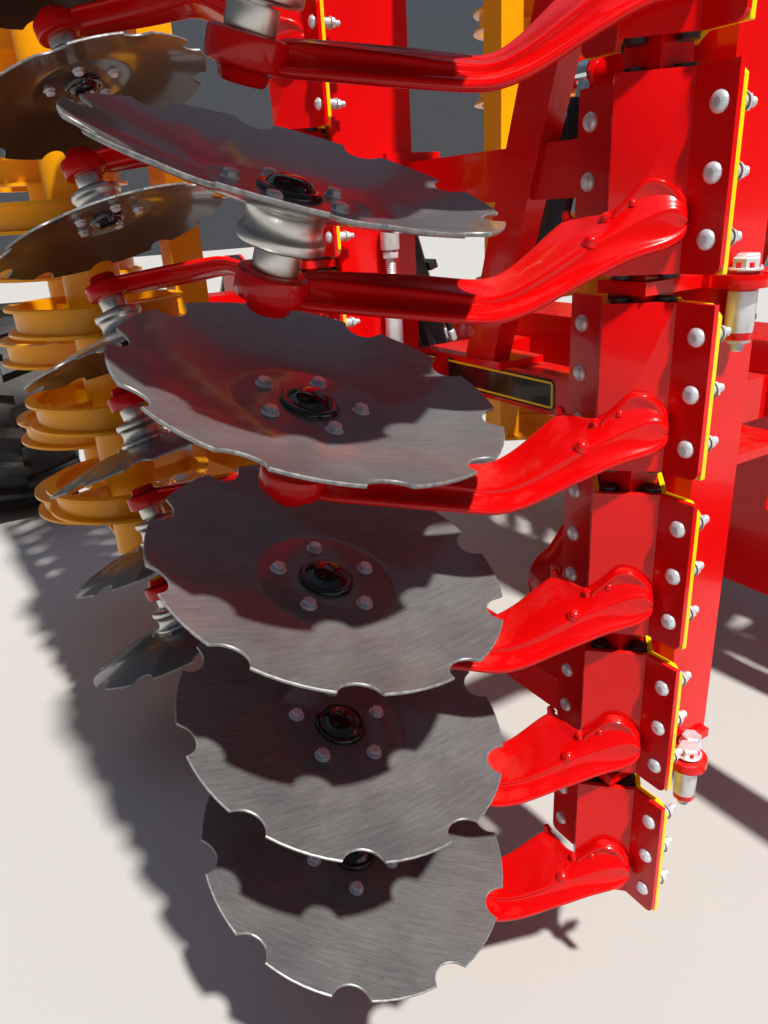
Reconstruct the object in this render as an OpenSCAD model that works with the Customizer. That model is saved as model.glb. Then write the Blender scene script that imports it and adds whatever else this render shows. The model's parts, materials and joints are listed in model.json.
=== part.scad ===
// Trailed disc harrow with two wings folded upright for the road.
// Millimetres. Z up, ground at z = 0, travel towards -Y, the machine's left is +X.

/* [Disc rows] */
// Discs in one row of one wing
discs_per_row = 7; // [2:1:7]
// Distance from disc to disc along a row
disc_pitch = 250; // [225:5:275]
// Height of the lowest clamp with the wing folded up
clamp_z0 = 350; // [320:5:400]
// Distance between the front and the rear gang tube
row_gap = 920; // [820:10:1000]
// Distance of a gang tube from the machine's centre plane with the wing folded
tube_x = 600; // [560:5:660]

/* [Disc] */
// Outer diameter of a disc
disc_d = 497; // [470:1:505]
// Plate thickness of a disc
disc_t = 5; // [4:0.5:8]
// Depth of the dish from the rim to the flat centre
dish_h = 36.6; // [25:0.1:50]
// Diameter of the flat centre
flat_d = 190; // [160:5:200]
// Number of notches in the rim
notches = 10; // [8:1:12]
// Width of a notch
notch_w = 57.6; // [40:0.1:70]
// Depth of a notch
notch_deep = 22.5; // [15:0.5:28]
// Bolts in the disc centre
hub_bolts = 5; // [4:1:6]
// Radius of the bolt circle
bolt_circle_r = 68.2; // [60:0.1:74]
// Diameter of the rotating hub flange
hub_d = 115; // [100:1:130]
// Diameter of the hub's waist
hub_waist_d = 80; // [60:1:95]
// Height of the rotating hub
hub_h = 58; // [50:1:70]
// Diameter of the fixed axle stub in the hub
stub_d = 40; // [30:1:50]

/* [Clamp] */
// Outer width of a clamp face
clamp_face = 97; // [85:1:110]
// Height of a clamp
clamp_h = 217; // [200:1:230]
// Plate thickness of a clamp
clamp_t = 8; // [6:1:10]
// Distance of the flange bolts beyond the bend
flange_bolt = 24.5; // [20:0.5:30]
// Flange edge beyond the bolt line
flange_edge = 21; // [15:1:25]
// Corner radius of the outer flange
flange_r = 12; // [5:1:20]
// Corner chamfer of the inner flange
flange_c = 14; // [5:1:20]
// Side of the square gang tube
gang_tube = 54; // [50:1:60]
// Length of a rubber rod beyond each end of its clamp
rod_over = 5; // [2:1:8]

/* [Disc arm] */
// Height of the bead along the arm's lower edge
arm_bead = 12; // [8:1:18]
// Edge chamfer of the arm
arm_c = 6; // [3:1:9]
// Diameter of the boss at the arm's end
boss_d = 92; // [80:1:110]
// Diameter of the fixed spacer above the boss
spacer_d = 70; // [60:1:90]

/* [Wing frame] */
// Side of the square wing beams
beam = 100; // [80:5:120]
// Outboard face of the wing beams, inboard of the gang tube
beam_x = 85; // [80:1:100]
// Thickness of the plates that carry the gang tubes
carrier_t = 16; // [12:1:25]
// Side of the two upper stays
stay = 90; // [70:5:100]
// Fold pin, inboard of the gang tube
fold_x = 50; // [46:1:60]
// Height of the fold pin
fold_z = 720; // [700:1:740]
// Diameter of the fold pin
fold_pin_d = 70; // [60:1:80]

/* [Rollers] */
// Outer diameter of a roller ring
ring_d = 468; // [440:2:500]
// Width of a roller ring
ring_w = 72; // [50:1:90]
// Distance of the roller shafts outboard of the gang tube
roller_x = 358; // [340:1:380]
// Front roller shaft behind the front gang tube
roller_y1 = 1555; // [1540:1:1600]
// Rear roller shaft behind the front gang tube
roller_y2 = 1949; // [1930:1:1990]
// Height of the front roller's lowest ring
ring_z1 = 606; // [590:1:620]
// Height of the rear roller's lowest ring
ring_z2 = 476; // [460:1:490]
// Centre tube of the front roller
core1_d = 150; // [120:5:170]
// Centre tube of the rear roller
core2_d = 110; // [90:5:140]
// Spokes in one ring
spokes = 4; // [3:1:6]

/* [Main frame] */
// Width of the spine beam
spine_w = 180; // [140:10:220]
// Underside of the spine beam
spine_z = 920; // [910:5:960]
// Height of the spine beam
spine_h = 150; // [120:5:180]
// Outer face of the side beams from the centre plane
side_x = 360; // [340:5:380]
// Side of the side beams
side_b = 80; // [60:5:90]

/* [Drawbar] */
// Width of the drawbar
bar_w = 116; // [100:2:120]
// Height of the drawbar
bar_h = 200; // [160:2:220]
// Underside of the drawbar
bar_z = 326; // [310:1:380]
// Underside of the drawbar's raised rear part
neck_z = 560; // [550:1:600]
// Height of the drawbar's raised rear part
neck_h = 180; // [150:5:190]
// Rear end of the drawbar behind the front gang tube
bar_y1 = 251; // [240:1:270]
// Front end of the drawbar ahead of the front gang tube
bar_y0 = 2150; // [1900:10:2300]
// Inner diameter of the hitch eye
eye_d = 50; // [40:1:60]
// Thickness of the hitch eye
eye_t = 40; // [30:1:45]

/* [Wheels] */
// Tyre diameter
tyre_d = 1000; // [950:10:1050]
// Tyre width
tyre_w = 500; // [400:10:520]
// Distance of the tyre centre from the centre plane
track_x = 1104; // [1080:2:1130]
// Axle behind the front gang tube
axle_y = 3507; // [3400:1:3600]
// Rim diameter at the tyre seat
rim_d = 570; // [500:5:600]
// Lugs on each side of the tread
lugs = 16; // [12:1:20]
// Diameter of the axle stub in the wheel hub
axle_stub_d = 80; // [60:1:100]

/* [Cylinders] */
// Outer diameter of the cylinder barrels
barrel_d = 90; // [80:1:100]
// Diameter of the piston rods
piston_d = 50; // [40:1:60]
// Diameter of the cylinder pins
pin_d = 36; // [30:1:40]
// Thickness of the cylinder eyes
eye_w = 46; // [30:1:50]

/* [Hidden] */
$fn = 48;
fit = 0.05;
bend = clamp_face / sqrt(2);
bolt_y = bend + flange_bolt;
flange_y = bolt_y + flange_edge;
rod_r = 12.45;
rod_c = gang_tube / 2 + rod_r + fit;
half_h = clamp_h / 2;
inner = bend - clamp_t * sqrt(2);
clamp_top = clamp_z0 + (discs_per_row - 1) * disc_pitch;
tube_z0 = clamp_z0 - half_h - 5;
tube_z1 = clamp_top + half_h + 40;
rear = 1;
front = 0;
right = 1;
left = -1;
disc_r = disc_d / 2;
disc_at = [-393.3, 181.8, 7.2];
disc_dir = [0.177, -0.301, 0.937];
disc_n = disc_dir / norm(disc_dir);
disc_tilt = [0, acos(disc_n[2]), atan2(disc_n[1], disc_n[0])];
// turn of each disc on its hub, front row then rear row, lowest disc first
turns = [[19, 63, 66, 42, 2, 33, 57], [10, 33, 66, 5, 48, 27, 59]];
hub_end = disc_t + hub_h;
// from a bolt to the next notch
notch_turn = 28;
boss_h = 36;
boss_top = 92;
boss_foot = 16;
length_front = bar_y0 + 216;
length_rear = axle_y + tyre_d / 2;
y_shift = (length_front - length_rear) / 2;
bend_y0 = -1300;
bend_y1 = -200;
carriers = [475, 1225, tube_z1 - 15];
beam_z0 = carriers[0] + carrier_t / 2;
panel_y0 = row_gap - 70;
panel_y1 = panel_y0 + 12;
barrel_bore = piston_d + 2 * fit;
wheel_w = 420;
// the roller cores reach past the lowest and the highest ring of the rear row
core_below = 76;
core_above = 84;
core_z0 = ring_z2 - core_below;
core_z1 = ring_z2 + (discs_per_row - 1) * disc_pitch + core_above;
end_t = 14;
journal_d = 50;
lug_t = 40;
front_lug_y = 143;
rear_lug_y = 750;
cyl_y = 1080;
fold_base = [-150, 880];
fold_lug = [-390, 1650];
fold_len = norm(fold_lug - fold_base);
fold_turn = atan2(fold_lug[1] - fold_base[1], fold_lug[0] - fold_base[0]);
axle_pin = [2700, 800];
lift_base = [3000, 1110];
lift_lug_fore = 77;
lift_lug_rise = 100;
lift_lug = [axle_y - lift_lug_fore, tyre_d / 2 + lift_lug_rise];
lift_len = norm(lift_lug - lift_base);
lift_turn = atan2(lift_lug[1] - lift_base[1], lift_lug[0] - lift_base[0]);
plate_t = 14;
// inner end of each piston rod, and the length of rod outside its barrel
fold_rod_in = 110;
fold_rod_out = 80;
lift_rod_in = 280;
lift_rod_out = 260;
spine_y0 = 120;
spine_y1 = 2930;
jack_y = -1700;
jack_x = bar_w / 2 + 60;
jack_d = 76;

// ---- placing
// the whole machine, from the front gang tube's place to the middle of its length
module placed() {
  translate([0, y_shift, 0]) children();
}

// drawn for the right side, mirrored for the left
module on_side(s) {
  if (s == right) placed() children();
  else mirror([1, 0, 0]) placed() children();
}

// wing parts are drawn from the gang tube, +x inboard
module wing(s) {
  on_side(s) translate([-tube_x, 0, 0]) children();
}

// a clamp's place in a row; the rear row's arms and discs are turned over
module at_clamp(row, k) {
  translate([0, row * row_gap, clamp_z0 + k * disc_pitch]) {
    if (row == rear) mirror([0, 0, 1]) children();
    else children();
  }
}

module each_clamp() {
  for (row = [front, rear]) {
    for (k = [0 : discs_per_row - 1]) {
      at_clamp(row, k) children();
    }
  }
}

// a box between two corners
module block(lo, hi) {
  translate(lo) cube(hi - lo);
}

// a box on both sides of the centre plane
module pair(lo, hi) {
  block(lo, hi);
  mirror([1, 0, 0]) block(lo, hi);
}

// a round bar along Y
module bar_y(d, x, z, y0, y1) {
  translate([x, y0, z]) rotate([-90, 0, 0]) cylinder(d = d, h = y1 - y0);
}

// a round bar along X
module bar_x(d, x0, x1, y, z) {
  translate([x0, y, z]) rotate([0, 90, 0]) cylinder(d = d, h = x1 - x0);
}

// a plate in the X-Z plane from y0 to y1
module plate_y(points, y0, y1) {
  translate([0, y1, 0]) rotate([90, 0, 0]) linear_extrude(y1 - y0) polygon(points);
}

// a plate in the Y-Z plane from x0 to x1
module plate_x(points, x0, x1) {
  translate([x0, 0, 0]) rotate([90, 0, 90]) linear_extrude(x1 - x0) polygon(points);
}

// ---- disc
module disc_place() {
  translate(disc_at) rotate(disc_tilt) children();
}

module disc_body() {
  flat_r = flat_d / 2;
  color([0.03, 0.03, 0.04]) difference() {
    rotate_extrude() polygon([[0, 0], [flat_r, 0], [flat_r + 45, dish_h * 0.2],
      [flat_r + 95, dish_h * 0.55], [disc_r, dish_h], [disc_r - 5, dish_h - 5.5],
      [flat_r + 96, dish_h * 0.55 - disc_t], [flat_r + 46, dish_h * 0.2 - disc_t],
      [flat_r + 1, -disc_t], [0, -disc_t]]);
    for (i = [0 : notches - 1]) {
      rotate([0, 0, notch_turn + i * 360 / notches]) translate([disc_r - notch_deep + notch_w / 2, 0, 0])
        cylinder(d = notch_w, h = 3 * dish_h, center = true);
    }
  }
  color([0.05, 0.05, 0.06]) cylinder(d1 = 78, d2 = 48, h = 14);
  color([0.7, 0.7, 0.72]) for (i = [0 : hub_bolts - 1]) {
    rotate([0, 0, i * 360 / hub_bolts]) translate([bolt_circle_r, 0, 0]) cylinder(d = 17, h = 9);
  }
  color([0.75, 0.75, 0.77]) difference() {
    rotate_extrude() polygon([[0, -disc_t], [hub_d / 2, -disc_t], [hub_d / 2, -disc_t - 14],
      [hub_waist_d / 2 + 4, -disc_t - 22], [hub_waist_d / 2, -disc_t - 40],
      [hub_waist_d / 2 + 6, -hub_end + 8], [hub_waist_d / 2 + 6, -hub_end], [0, -hub_end]]);
    translate([0, 0, -hub_end - 1]) cylinder(d = stub_d + 2 * fit, h = hub_h - 24);
  }
}

module one_disc(s, row, k) {
  wing(s) at_clamp(row, k - 1) disc_place() rotate([0, 0, turns[row][k - 1]]) disc_body();
}

module disc_right_front_1() one_disc(right, front, 1);
module disc_right_front_2() one_disc(right, front, 2);
module disc_right_front_3() one_disc(right, front, 3);
module disc_right_front_4() one_disc(right, front, 4);
module disc_right_front_5() one_disc(right, front, 5);
module disc_right_front_6() one_disc(right, front, 6);
module disc_right_front_7() one_disc(right, front, 7);
module disc_right_rear_1() one_disc(right, rear, 1);
module disc_right_rear_2() one_disc(right, rear, 2);
module disc_right_rear_3() one_disc(right, rear, 3);
module disc_right_rear_4() one_disc(right, rear, 4);
module disc_right_rear_5() one_disc(right, rear, 5);
module disc_right_rear_6() one_disc(right, rear, 6);
module disc_right_rear_7() one_disc(right, rear, 7);
module disc_left_front_1() one_disc(left, front, 1);
module disc_left_front_2() one_disc(left, front, 2);
module disc_left_front_3() one_disc(left, front, 3);
module disc_left_front_4() one_disc(left, front, 4);
module disc_left_front_5() one_disc(left, front, 5);
module disc_left_front_6() one_disc(left, front, 6);
module disc_left_front_7() one_disc(left, front, 7);
module disc_left_rear_1() one_disc(left, rear, 1);
module disc_left_rear_2() one_disc(left, rear, 2);
module disc_left_rear_3() one_disc(left, rear, 3);
module disc_left_rear_4() one_disc(left, rear, 4);
module disc_left_rear_5() one_disc(left, rear, 5);
module disc_left_rear_6() one_disc(left, rear, 6);
module disc_left_rear_7() one_disc(left, rear, 7);

// ---- clamps
// half of the square shell, outboard of the flange plane, with both flanges
module half_shell() {
  face = bend - clamp_t;
  linear_extrude(clamp_h, center = true) polygon([[-clamp_t, -flange_y], [-clamp_t, -face],
    [-bend, 0], [-clamp_t, face], [-clamp_t, flange_y], [0, flange_y], [0, inner],
    [-inner, 0], [0, -inner], [0, -flange_y]]);
}

// side outline of a shell with both lower corners rounded
module rounded_outline() {
  deep = 2 * bend;
  r = flange_r;
  rotate([90, 0, 90]) linear_extrude(deep, center = true) {
    translate([-flange_y, r - half_h]) square([2 * flange_y, clamp_h - r]);
    translate([r - flange_y, -half_h]) square([2 * flange_y - 2 * r, r + 1]);
    for (y = [r - flange_y, flange_y - r]) {
      translate([y, r - half_h]) circle(r);
    }
  }
}

// side outline of a shell with its upper corners cut off
module chamfered_outline() {
  deep = 2 * bend;
  rotate([90, 0, 90]) linear_extrude(deep, center = true) polygon([[-flange_y, -half_h],
    [flange_y, -half_h], [flange_y, half_h - flange_c], [flange_y - flange_c, half_h],
    [flange_c - flange_y, half_h], [-flange_y, half_h - flange_c]]);
}

module clamp_outers(s) {
  color([0.8, 0.02, 0.02]) wing(s) each_clamp() intersection() {
    half_shell();
    rounded_outline();
  }
}

module clamp_inners(s) {
  color([0.95, 0.75, 0.05]) wing(s) each_clamp() intersection() {
    mirror([1, 0, 0]) half_shell();
    chamfered_outline();
  }
}

module rubber_rods(s) {
  long = clamp_h + 2 * rod_over;
  color([0.03, 0.03, 0.03]) wing(s) each_clamp() {
    for (a = [0 : 90 : 270]) {
      rotate([0, 0, a]) translate([rod_c, 0, 0]) cylinder(r = rod_r, h = long, center = true);
    }
  }
}

module clamp_outers_right() clamp_outers(right);
module clamp_outers_left() clamp_outers(left);
module clamp_inners_right() clamp_inners(right);
module clamp_inners_left() clamp_inners(left);
module rubber_rods_right() rubber_rods(right);
module rubber_rods_left() rubber_rods(left);

// ---- disc arms
// cross sections along the arm: outer corner x, y, inner corner x, y, bottom z, top z
// Cross sections from the clamp to the boss. q runs along the arm, p across it to the rear.
// [q, p and z of the lower front edge, p and z of the ridge, p and z of the rear edge, rear edge height]
arm_cuts = [
  [-24, -73, -72, -73, -38, -58, -24, 46],
  [0, -80, -82, -72, -36, -55, -14, 64],
  [31, -86, -88, -72, -48, -51, -20, 60],
  [58, -88, -100, -72, -58, -41, -37, 50],
  [77, -89, -108, -72, -65, -10, -38, 34],
  [96, -89, -118, -72, -76, 16, -38, 24],
  [120, -89, -131, -71, -91, 14, -57, 26],
  [150, -89, -146, -68, -110, 10, -84, 28],
  [180, -88, -155, -62, -123, 7, -102, 32],
  [212, -82, -155, -54, -123, 0, -106, 38],
  [260, -84, -149, -58, -114, -12, -99, 42],
  [330, -88, -140, -66, -103, -26, -90, 42],
  [430, -94, -127, -76, -88, -46, -80, 42]];

// place in the wing's frame of a point given along, across and up the arm
function arm_point(q, p, z) = [0.6 * p - 0.8 * q, 0.8 * p + 0.6 * q, z];

// nine points round one cross section, with a bead at the foot of the front face
function cut_ring(c) = let (q = c[0], e = arm_c, foot = c[2] + arm_bead, back = c[6] - c[7])
  [arm_point(q, c[1] + e, c[2]), arm_point(q, c[1], c[2] + e), arm_point(q, c[1], foot),
   arm_point(q, c[3] - 1, c[4] - e), arm_point(q, c[3] + e, c[4] + e / 3),
   arm_point(q, c[5] - e, c[6]), arm_point(q, c[5], c[6] - e),
   arm_point(q, c[5], back + e), arm_point(q, c[5] - e, back)];

module arm_loft() {
  m = 9;
  n = len(arm_cuts);
  points = [for (c = arm_cuts) each cut_ring(c)];
  side_faces = [for (i = [0 : n - 2], j = [0 : m - 1])
    let (a = i * m + j, b = i * m + (j + 1) % m)
    each [[a, b + m, b], [a, a + m, b + m]]];
  first_cap = [for (j = [1 : m - 2]) [0, j, j + 1]];
  last_cap = [for (j = [1 : m - 2]) [(n - 1) * m, (n - 1) * m + j + 1, (n - 1) * m + j]];
  polyhedron(points, concat(side_faces, first_cap, last_cap));
}

// round foot on the clamp's front outboard face, with a raised edge
module arm_foot() {
  foot_t = 12;
  foot_r = 39;
  foot_u = clamp_face / 2 - clamp_t * sqrt(2) - foot_r - 1;
  translate([-bend / 2, -bend / 2, -40]) rotate([0, 0, -135]) rotate([90, 0, 90]) {
    linear_extrude(foot_t) {
      translate([foot_u, 0]) circle(foot_r);
      translate([2 - clamp_face / 2, -foot_r]) square([foot_u + clamp_face / 2 - 2, 2 * foot_r]);
    }
    translate([foot_u, 0, 0]) cylinder(r1 = foot_r, r2 = foot_r - 5, h = foot_t + 5);
  }
}

// small upset knobs left by the forging dies
module arm_knobs() {
  translate(arm_point(90, 9, -52)) rotate([-20, 0, 0]) cylinder(d = 15, h = 22);
  translate(arm_point(77, -68, -80)) rotate([-20, 0, 0]) cylinder(d1 = 22, d2 = 16, h = 25);
  translate(arm_point(56, -51, -60)) cylinder(d = 13, h = 26);
}

module disc_arm() {
  arm_loft();
  arm_foot();
  arm_knobs();
  disc_place() rotate([0, 0, 160]) {
    translate([0, 0, -boss_top - boss_h]) cylinder(d = boss_d, h = boss_h);
    translate([0, 0, -boss_top - boss_h - boss_foot]) cylinder(d1 = 50, d2 = 62, h = boss_foot + 1);
    translate([0, 0, -boss_top]) cylinder(d = spacer_d, h = boss_top - hub_end - 3);
    translate([0, 0, -boss_top]) cylinder(d = stub_d, h = boss_top - 32);
  }
}

module disc_arms(s) {
  color([0.8, 0.02, 0.02]) wing(s) each_clamp() disc_arm();
}

module disc_arms_right() disc_arms(right);
module disc_arms_left() disc_arms(left);

// ---- wing frame
// plate in a gap between clamps from a gang tube to its beam, with a long bolt beside it
module carrier(z, dir) {
  hole = 34;
  eye = [100, 74 * dir];
  half = gang_tube / 2 + 12;
  translate([0, 0, z - carrier_t / 2]) linear_extrude(carrier_t) {
    translate([-half, -half]) square([beam_x + half, 2 * half]);
    translate([beam_x - 20, -50]) square([beam + 20, 100]);
    translate(eye) circle(30);
    translate([70, min(0, eye[1])]) square([60, 74]);
  }
  translate([eye[0], eye[1], z + carrier_t / 2]) cylinder(d = hole, h = 14, $fn = 6);
  translate([eye[0], eye[1], z - carrier_t / 2 - 65]) cylinder(d = hole, h = 65);
}

module wing_frame(s) {
  x0 = beam_x;
  x1 = beam_x + beam;
  yr0 = panel_y1;
  yr1 = panel_y1 + beam;
  top = tube_z1 + 5;
  tie_z = carriers[0] - carrier_t / 2;
  color([0.75, 0.02, 0.02]) wing(s) {
    for (y = [0, row_gap]) {
      block([-gang_tube / 2, y - gang_tube / 2, tube_z0], [gang_tube / 2, y + gang_tube / 2, tube_z1]);
    }
    for (z = carriers) {
      carrier(z, -1);
      translate([0, row_gap, 0]) carrier(z, 1);
    }
    // spanwise beams
    block([x0, -40, beam_z0], [x1, 60, top]);
    block([x0, yr0, beam_z0], [x1, yr1, top]);
    block([30, panel_y0, 600], [225, panel_y1, 1900]);
    // low beam between the rows
    block([x0 + 10, 0, tie_z - 70], [x1 - 20, row_gap, tie_z]);
    // upper stays and their end plates
    for (z = [1330, 1830]) {
      block([200, 60, z], [200 + stay, panel_y0, z + stay]);
      block([x0, 60, z - 20], [200 + stay, 75, z + stay + 20]);
      block([150, panel_y0 - 15, z - 20], [200 + stay, panel_y0, z + stay + 20]);
    }
    // slanted strut between the stays with its rest plate
    plate_x([[250, 1880], [340, 1880], [620, 1030], [530, 1030]], 190, 235);
    block([180, 500, 1016], [300, 650, 1030]);
    // shelf plate beside the front beam
    block([x1, -40, 953], [x1 + 145, 105, 967]);
    // front fold pin with its plate and box
    block([x0, 60, 640], [x1, 118, 800]);
    plate_y([[-10, 660], [60, 620], [x1, 620], [x1, 820], [60, 820], [-10, 780]], 118, 138);
    bar_y(fold_pin_d, fold_x, fold_z, 138, front_lug_y + lug_t + 20);
    bar_y(fold_pin_d + 30, fold_x, fold_z, front_lug_y + lug_t + 8, front_lug_y + lug_t + 20);
    // rear fold pin on the panel
    bar_y(fold_pin_d, fold_x, fold_z, rear_lug_y - 20, panel_y0);
    bar_y(fold_pin_d + 30, fold_x, fold_z, rear_lug_y - 20, rear_lug_y - 8);
    plate_y([[14, 660], [30, 610], [120, 610], [120, 830], [30, 830], [14, 780]],
      panel_y0 - 12, panel_y0);
    // lug of the fold cylinder on the rear beam
    translate([tube_x, 0, 0]) fold_lug_plates();
  }
}

module fold_lug_plates() {
  x = fold_lug[0];
  z = fold_lug[1];
  gap = eye_w / 2 + 3;
  for (y = [cyl_y - gap - plate_t, cyl_y + gap]) {
    plate_y([[x - 75, z - 70], [x + 20, z - 36], [x + 36, z], [x + 20, z + 36], [x - 75, z + 70]],
      y, y + plate_t);
    head_y = y < cyl_y ? y - 8 : y + plate_t;
    bar_y(pin_d + 14, x, z, head_y, head_y + 8);
  }
  block([x - 110, panel_y1 + beam, z - 70], [x - 60, cyl_y + gap + plate_t, z + 70]);
}

module wing_frame_right() wing_frame(right);
module wing_frame_left() wing_frame(left);

// ---- rollers
// U section ring on flat spokes
module ring(core_d) {
  r = ring_d / 2;
  h = ring_w / 2;
  rotate_extrude() polygon([[r, -h], [r, 8 - h], [r - 22, 10 - h], [r - 22, h - 10],
    [r, h - 8], [r, h], [r - 30, h], [r - 30, -h]]);
  for (i = [0 : spokes - 1]) {
    rotate([0, 0, i * 360 / spokes + 20]) translate([core_d / 2 - 4, -6, -20])
      cube([r - 25 - core_d / 2, 12, 40]);
  }
}

module roller(y, core_d, z0, count, s) {
  color([0.9, 0.6, 0.05]) wing(s) translate([-roller_x, y, 0]) {
    translate([0, 0, core_z0]) cylinder(d = core_d, h = core_z1 - core_z0);
    translate([0, 0, core_z0 - end_t - 10]) cylinder(d = journal_d, h = core_z1 - core_z0 + 2 * end_t + 20);
    for (k = [0 : count - 1]) {
      translate([0, 0, z0 + k * disc_pitch]) ring(core_d);
    }
  }
}

// end plate with both shaft holes
module roller_end(z) {
  xs = -roller_x;
  difference() {
    translate([0, 0, z]) linear_extrude(end_t) polygon([[xs - 45, roller_y1 - 45],
      [xs + 45, roller_y1 - 45], [-20, 1700], [-20, 1804],
      [xs + 45, roller_y2 + 45], [xs - 45, roller_y2 + 45]]);
    for (y = [roller_y1, roller_y2]) {
      translate([xs, y, z - 1]) cylinder(d = journal_d + 2 * fit, h = end_t + 2);
    }
  }
}

module roller_frame(s) {
  rail_y0 = 1702;
  rail_y1 = 1802;
  y0 = panel_y1 + beam;
  color([0.9, 0.6, 0.05]) wing(s) {
    roller_end(core_z0 - end_t - 4);
    roller_end(core_z1 + 4);
    block([-90, rail_y0, core_z0 - 4], [10, rail_y1, core_z1 + 4]);
    for (z = [600, 1380]) {
      translate([0, 0, z]) linear_extrude(beam) polygon([[60, y0], [160, y0], [30, 1600],
        [10, rail_y1], [-90, rail_y1], [-90, rail_y0 - 60]]);
      block([55, y0, z - 15], [180, y0 + 12, z + beam + 15]);
    }
  }
}

module roller_front_right() roller(roller_y1, core1_d, ring_z1, discs_per_row - 1, right);
module roller_front_left() roller(roller_y1, core1_d, ring_z1, discs_per_row - 1, left);
module roller_rear_right() roller(roller_y2, core2_d, ring_z2, discs_per_row, right);
module roller_rear_left() roller(roller_y2, core2_d, ring_z2, discs_per_row, left);
module roller_frame_right() roller_frame(right);
module roller_frame_left() roller_frame(left);

// ---- cylinders, drawn along +x from the base pin in the x-z plane
module cylinder_barrel(long) {
  difference() {
    union() {
      rotate([0, 90, 0]) cylinder(d = barrel_d, h = long);
      rotate([90, 0, 0]) cylinder(d = barrel_d - 4, h = eye_w, center = true);
    }
    rotate([90, 0, 0]) cylinder(d = pin_d + 2 * fit, h = 2 * barrel_d, center = true);
    translate([barrel_d, 0, 0]) rotate([0, 90, 0]) cylinder(d = barrel_bore, h = long);
    for (y = [-1, 1]) {
      translate([-barrel_d, y > 0 ? eye_w / 2 : -barrel_d - eye_w / 2, -barrel_d])
        cube([1.5 * barrel_d, barrel_d, 2 * barrel_d]);
    }
  }
}

module cylinder_rod(from, long) {
  translate([from, 0, 0]) rotate([0, 90, 0]) cylinder(d = piston_d, h = long - from);
  translate([long, 0, 0]) rotate([90, 0, 0]) cylinder(d = piston_d + 22, h = eye_w, center = true);
}

module fold_place(s) {
  on_side(s) translate([fold_base[0], cyl_y, fold_base[1]]) rotate([0, -fold_turn, 0]) children();
}

module fold_barrel_right() color([0.05, 0.05, 0.05]) fold_place(right)
  cylinder_barrel(fold_len - fold_rod_out);
module fold_barrel_left() color([0.05, 0.05, 0.05]) fold_place(left)
  cylinder_barrel(fold_len - fold_rod_out);
module fold_rod_right() color([0.8, 0.8, 0.82]) fold_place(right) cylinder_rod(fold_rod_in, fold_len);
module fold_rod_left() color([0.8, 0.8, 0.82]) fold_place(left) cylinder_rod(fold_rod_in, fold_len);

module lift_place() {
  placed() translate([0, lift_base[0], lift_base[1]])
    rotate([0, 0, 90]) rotate([0, -lift_turn, 0]) children();
}

module lift_barrel() color([0.05, 0.05, 0.05]) lift_place() cylinder_barrel(lift_len - lift_rod_out);
module lift_rod() color([0.8, 0.8, 0.82]) lift_place() cylinder_rod(lift_rod_in, lift_len);

// ---- main frame
module main_frame() {
  s0 = side_x - side_b;
  color([0.75, 0.02, 0.02]) placed() difference() {
    union() {
      // spine, side beams and cross members
      block([-spine_w / 2, spine_y0, spine_z], [spine_w / 2, spine_y1, spine_z + spine_h]);
      pair([s0, 130, 930], [side_x, 870, 1010]);
      block([-side_x, 130, 930], [side_x, 230, 1010]);
      block([-side_x, 770, 930], [side_x, 870, 1010]);
      // column down to the drawbar
      block([-bar_w / 2, spine_y0, neck_z + neck_h], [bar_w / 2, bar_y1, spine_z + 1]);
      // lugs of the fold pins
      for (m = [0, 1], y = [front_lug_y, rear_lug_y]) {
        mirror([m, 0, 0]) {
          plate_y([[-side_x + 60, 1010], [-side_x + 60, 930], [fold_x - tube_x + 28, fold_z - 52],
            [fold_x - tube_x - 42, fold_z + 44], [-side_x, 1010]], y, y + lug_t);
          bar_y(fold_pin_d + 60, fold_x - tube_x, fold_z, y, y + lug_t);
        }
      }
      // lugs of the fold cylinders
      for (m = [0, 1], y = [cyl_y - eye_w / 2 - 3 - plate_t, cyl_y + eye_w / 2 + 3]) {
        mirror([m, 0, 0]) plate_y([[-60, spine_z + 10], [-60, 845], [-150, 846],
          [-178, 862], [-178, 898], [-150, 914], [-110, spine_z + 10]], y, y + plate_t);
      }
      for (m = [0, 1]) {
        mirror([m, 0, 0]) bar_y(pin_d, fold_base[0], fold_base[1], cyl_y - 55, cyl_y + 55);
      }
      // rear cross member and the brackets of the axle pin
      block([-320, 2620, spine_z], [320, 2780, spine_z + 90]);
      pair_brackets();
      // lug of the lift cylinder
      for (x = [-eye_w / 2 - 3 - plate_t, eye_w / 2 + 3]) {
        plate_x([[2900, 1070], [3000, 1060], [3045, 1110], [3000, 1155], [2800, 1070]], x, x + plate_t);
      }
      bar_x(pin_d, -50, 50, lift_base[0], lift_base[1]);
      block([-50, 2790, 1070], [50, 2930, 1082]);
    }
    for (m = [0, 1], y = [front_lug_y, rear_lug_y]) {
      mirror([m, 0, 0]) bar_y(fold_pin_d + 2 * fit, fold_x - tube_x, fold_z, y - 1, y + lug_t + 1);
    }
    bar_x(70 + 2 * fit, -400, 400, axle_pin[0], axle_pin[1]);
  }
}

module pair_brackets() {
  y = axle_pin[0];
  z = axle_pin[1];
  for (x = [-290, 260]) {
    plate_x([[y - 80, spine_z + 5], [y - 55, z - 20], [y - 30, z - 55],
      [y + 30, z - 55], [y + 55, z - 20], [y + 80, spine_z + 5]], x, x + 30);
  }
}

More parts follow.
